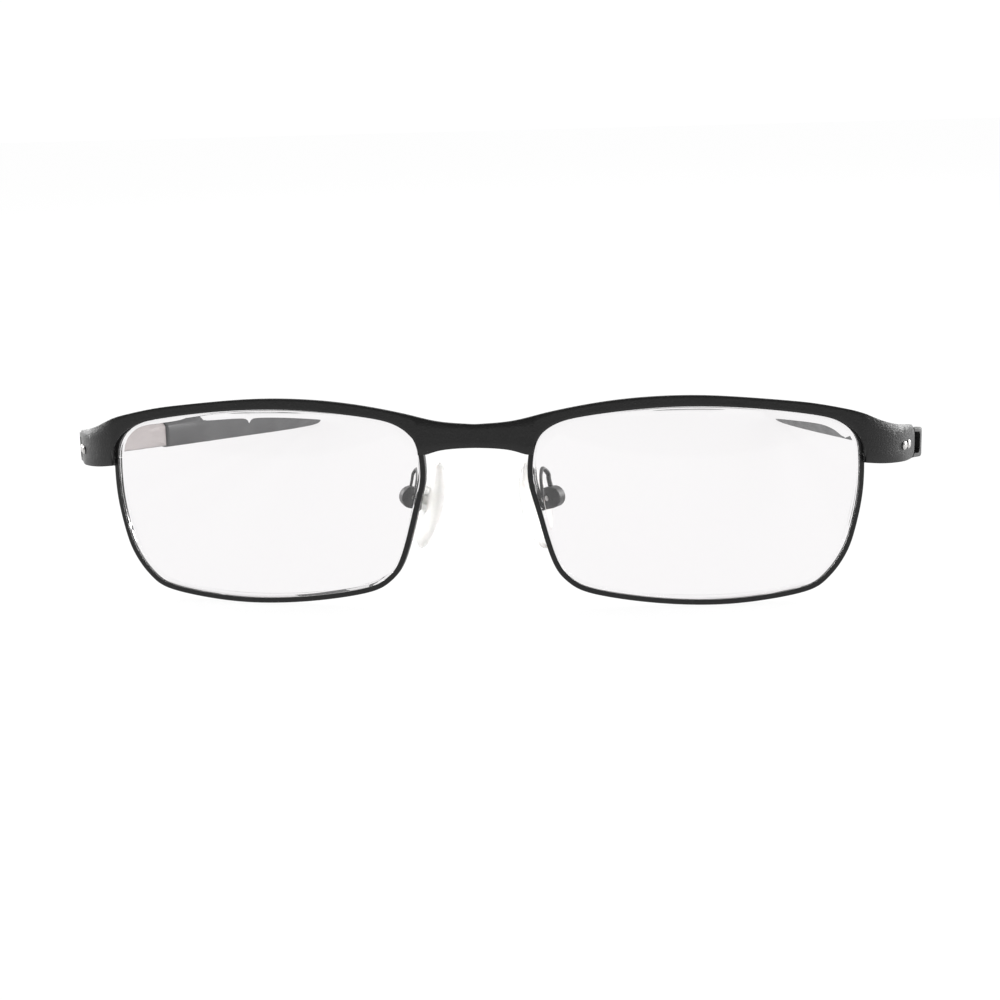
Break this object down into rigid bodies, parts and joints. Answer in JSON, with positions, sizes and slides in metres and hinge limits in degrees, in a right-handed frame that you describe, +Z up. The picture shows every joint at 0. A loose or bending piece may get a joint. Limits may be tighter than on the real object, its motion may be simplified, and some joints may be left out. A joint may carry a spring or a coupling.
{
  "type": "folding reading glasses",
  "caption": "Full-rim metal reading glasses with rocking nose pads and temples that fold on screwed hinges; open, they stand on rims and temple tips.",
  "frame": {"origin": "on the table, under the middle of the open glasses' box", "axes": "+X to the wearer's left, -Y the way the wearer looks, +Z up"},
  "size_m": [0.1488, 0.1506, 0.0348],
  "materials": {
    "coated_metal": "matte black powder coat with a very fine grain",
    "steel": "bright plain rivet and screw heads",
    "lens": "clear polished lens",
    "silicone": "translucent milky silicone",
    "pad_insert": "clear frosted hard plastic",
    "ear_sock": "satin dark grey soft plastic"
  },
  "bodies": {
    "front": {"brow_plate": "coated_metal", "eyewire_left": "coated_metal", "lens_left": "lens", "rim_lock_upper_left": "coated_metal", "rim_lock_lower_left": "coated_metal", "rim_lock_screw_left": "steel", "pad_arm_left": "coated_metal", "pad_box_left": "coated_metal", "pad_screw_left": "steel", "hinge_front_leaf_left": "coated_metal", "front_rivet_front_left": "steel", "front_rivet_rear_left": "steel", "hinge_screw_left": "steel", "eyewire_right": "coated_metal", "lens_right": "lens", "rim_lock_upper_right": "coated_metal", "rim_lock_lower_right": "coated_metal", "rim_lock_screw_right": "steel", "pad_arm_right": "coated_metal", "pad_box_right": "coated_metal", "pad_screw_right": "steel", "hinge_front_leaf_right": "coated_metal", "front_rivet_front_right": "steel", "front_rivet_rear_right": "steel", "hinge_screw_right": "steel"},
    "temple_left": {"temple_arm_left": "coated_metal", "hinge_temple_leaf_left": "coated_metal", "temple_rivet_front_left": "steel", "temple_rivet_rear_left": "steel", "ear_sock_left": "ear_sock"},
    "temple_right": {"temple_arm_right": "coated_metal", "hinge_temple_leaf_right": "coated_metal", "temple_rivet_front_right": "steel", "temple_rivet_rear_right": "steel", "ear_sock_right": "ear_sock"},
    "nose_pad_left": {"nose_pad_left": "silicone", "pad_insert_left": "pad_insert"},
    "nose_pad_right": {"nose_pad_right": "silicone", "pad_insert_right": "pad_insert"}
  },
  "joints": [
    {"name": "temple_left_fold", "type": "hinge", "parent": "front", "child": "temple_left", "pos_m": [0.06997, -0.05637, 0.0235], "axis": [0.0351, 0.1451, 0.9888], "range_deg": [0, 86]},
    {"name": "temple_right_fold", "type": "hinge", "parent": "front", "child": "temple_right", "pos_m": [-0.06997, -0.05637, 0.0235], "axis": [0.0351, -0.1451, -0.9888], "range_deg": [0, 82]},
    {"name": "nose_pad_left_rock", "type": "hinge", "parent": "front", "child": "nose_pad_left", "pos_m": [0.0112, -0.06677, 0.01667], "axis": [0.4226, 0.9043, -0.0596], "range_deg": [-10, 10]},
    {"name": "nose_pad_right_rock", "type": "hinge", "parent": "front", "child": "nose_pad_right", "pos_m": [-0.0112, -0.06677, 0.01667], "axis": [0.4226, -0.9043, 0.0596], "range_deg": [-10, 10]}
  ]
}
